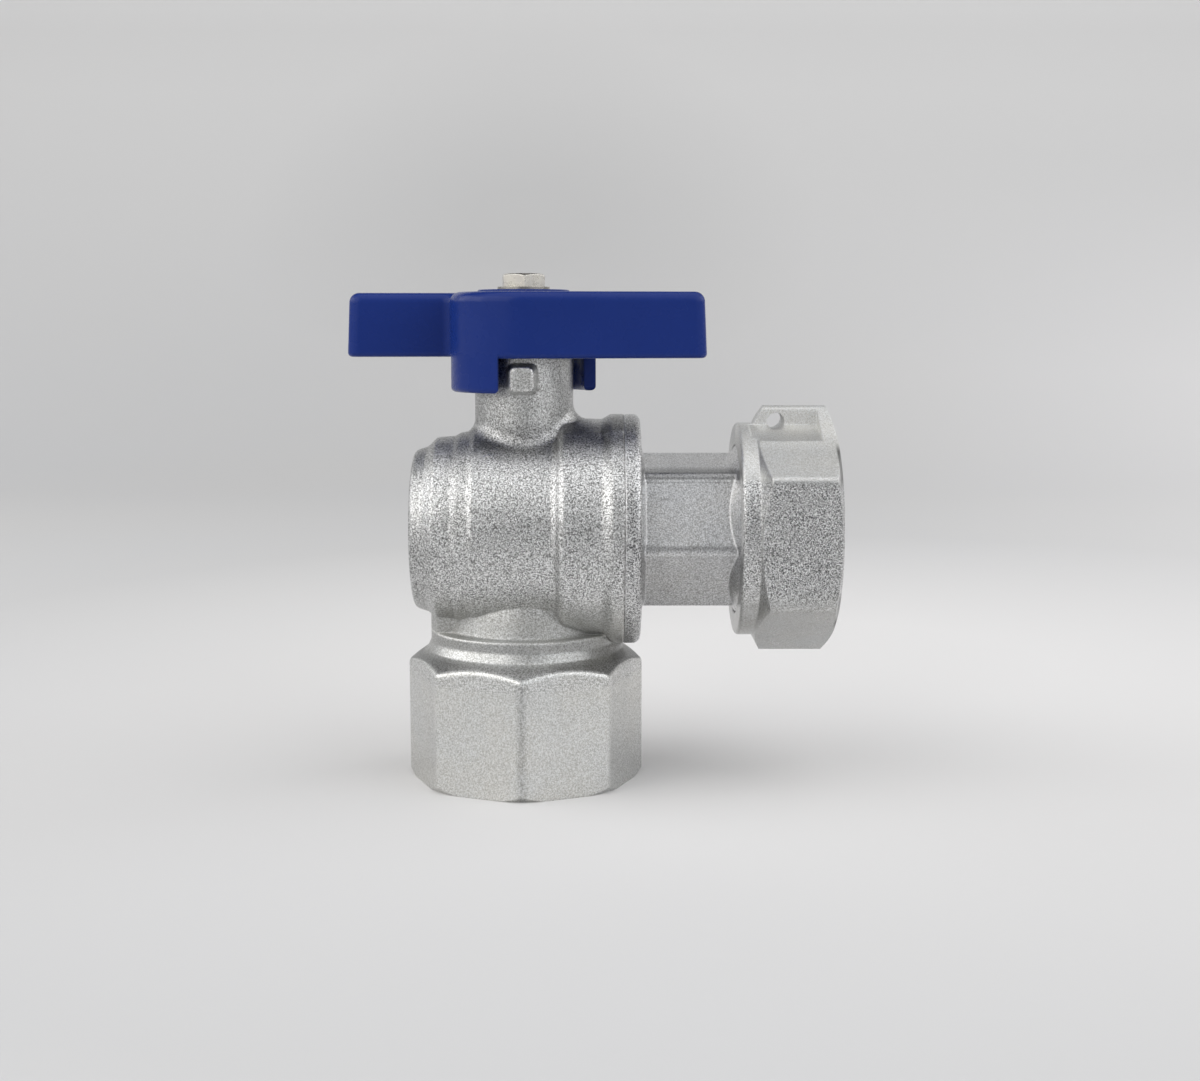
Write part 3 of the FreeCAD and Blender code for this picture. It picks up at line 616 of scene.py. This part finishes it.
def thread_groove(turns):
    """Share of the full depth, from 0 on the crest to 1 in the rounded root."""
    rise = 1 - abs(2 * (turns % 1.0) - 1)
    flank = min(max(1.5 * rise - 0.25, 0.0), 1.0)
    rounded = flank * flank * (3 - 2 * flank)
    return 0.5 * (flank + rounded)


def ramp(distance, length):
    return min(max(distance / length, 0.0), 1.0)


def upright_place(along, radius, angle):
    return radius * math.cos(angle), radius * math.sin(angle), along


def level_place(along, radius, angle):
    return along, radius * math.cos(angle), AXIS_HEIGHT + radius * math.sin(angle)


def upright_parts(point):
    return point.z, math.hypot(point.x, point.y), math.atan2(point.y, point.x)


def level_parts(point):
    height = point.z - AXIS_HEIGHT
    return point.x, math.hypot(point.y, height), math.atan2(height, point.y)


def keep_normals(work, normals):
    """Store the mesh's own corner normals in its faces, where they outlast the cut."""
    layer = work.loops.layers.float_vector.new("kept_normal")
    index = 0
    for face in work.faces:
        for loop in face.loops:
            loop[layer] = normals[index]
            index += 1


def restore_normals(mesh):
    normals = [tuple(item.vector) for item in mesh.attributes["kept_normal"].data]
    mesh.attributes.remove(mesh.attributes["kept_normal"])
    mesh.normals_split_custom_set(normals)


def thread_wall(work, parts):
    """Faces of the plain thread wall, with its two ends and the angles of its corners."""
    def on_wall(vertex):
        return abs(parts(vertex.co)[1] - THREAD_CREST_RADIUS) < SAME_RADIUS

    def distance(vertex):
        return parts(vertex.co)[0]

    wall = [face for face in work.faces if all(on_wall(vertex) for vertex in face.verts)]
    start = min(distance(vertex) for face in wall for vertex in face.verts)
    wall = [face for face in wall if min(map(distance, face.verts)) < start + THREAD_PITCH]
    end = max(distance(vertex) for face in wall for vertex in face.verts)
    corners = {}
    for face in wall:
        for vertex in face.verts:
            along, _, angle = parts(vertex.co)
            if along < start + SAME_PLACE:
                corners[round(angle, ANGLE_DIGITS)] = angle
    angles = sorted(corners.values())
    if angles[-1] - angles[0] > 2 * math.pi - SAME_ANGLE:
        angles.pop()
    return wall, start, end, angles


def wind_thread(work, place, start, end, angles, entry_fade, end_fade):
    """Rings of faces whose radius follows the thread's groove."""
    rows = round((end - start) / THREAD_PITCH * THREAD_ROWS_PER_TURN)
    grid = []
    for row in range(rows + 1):
        along = start + (end - start) * row / rows
        fade = ramp(along - start, entry_fade) * ramp(end - along, end_fade)
        line = []
        for angle in angles:
            groove = thread_groove(along / THREAD_PITCH - angle / (2 * math.pi))
            radius = THREAD_CREST_RADIUS + THREAD_DEPTH * groove * fade
            line.append(work.verts.new(place(along, radius, angle)))
        grid.append(line)
    for line, next_line in zip(grid, grid[1:]):
        for column in range(len(angles)):
            following = (column + 1) % len(angles)
            corners = (line[column], next_line[column], next_line[following], line[following])
            work.faces.new(corners).smooth = True


def cut_thread(node, body, parts, place, entry_fade, end_fade):
    """Copy of a node whose plain thread wall carries the right-hand G1 thread."""
    mesh = frame["nodes"][node].data.copy()
    normals = [tuple(corner.vector) for corner in mesh.corner_normals]
    work = bmesh.new()
    work.from_mesh(mesh)
    keep_normals(work, normals)
    wall, start, end, angles = thread_wall(work, parts)
    bmesh.ops.delete(work, geom=wall, context="FACES")
    wind_thread(work, place, start, end, angles, entry_fade, end_fade)
    work.to_mesh(mesh)
    work.free()
    restore_normals(mesh)
    piece = bpy.data.objects.new(node + "_threaded", mesh)
    bpy.context.scene.collection.objects.link(piece)
    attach(piece, body)
    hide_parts(node)
    return piece


def dress_nodes(casting, forged, turned):
    plastic = fluoroplastic()
    rubber = seal_rubber()
    finishes = {
        "valve_body": casting,
        "end_connector": turned,
        "union_nut": forged,
        "handle": blue_paint(),
        "handle_screw": plated_steel("screw_steel", 1.0),
        "handle_washer": plated_steel("washer_steel", 0.60),
        "ball": chromed_ball(),
        "stem": turned_brass(),
        "nut_retaining_ring": spring_wire(),
        "rear_seat": plastic,
        "outlet_seat": plastic,
        "stem_thrust_washer": plastic,
        "body_joint_o_ring": rubber,
        "stem_o_ring_lower": rubber,
        "stem_o_ring_upper": rubber,
        "union_gasket": rubber,
    }
    for node, material in finishes.items():
        for slot in frame["nodes"][node].material_slots:
            slot.material = material


def main():
    add_camera()
    sweep = add_sweep()
    sweep.data.materials.append(stage_paper())
    light_the_stage()
    casting = cast_nickel(
        "cast_nickel", (0.60, 0.60, 0.58), grain_size=0.18 * MM, mottle=0.74, wear_and_highlight=1.05, wear_and_highlight_share=0.4,
        painted_light_and_shade=casting_painted_light, grain=casting_grain, roughness=casting_roughness)
    forged = cast_nickel(
        "forged_nickel", (0.60, 0.60, 0.59), grain_size=0.15 * MM, mottle=0.88, wear_and_highlight=1.15, wear_and_highlight_share=0.4,
        painted_light_and_shade=nut_painted_light, grain=nut_grain, roughness=nut_roughness)
    turned = cast_nickel(
        "turned_nickel", (0.66, 0.66, 0.67), grain_size=0.18 * MM, mottle=0.85, wear_and_highlight=1.45, wear_and_highlight_share=0.9,
        painted_light_and_shade=connector_painted_light, grain=connector_grain, roughness=connector_roughness)
    dress_nodes(casting, forged, turned)
    body = cut_thread("valve_body", "housing", upright_parts, upright_place,
                      0.3 * THREAD_PITCH, THREAD_PITCH)
    nut = cut_thread("union_nut", "swivel_nut", level_parts, level_place,
                     0.5 * THREAD_PITCH, 0.3 * THREAD_PITCH)
    body.data.materials[0] = casting
    nut.data.materials[0] = forged
    bpy.context.scene.view_settings.view_transform = "Standard"


main()
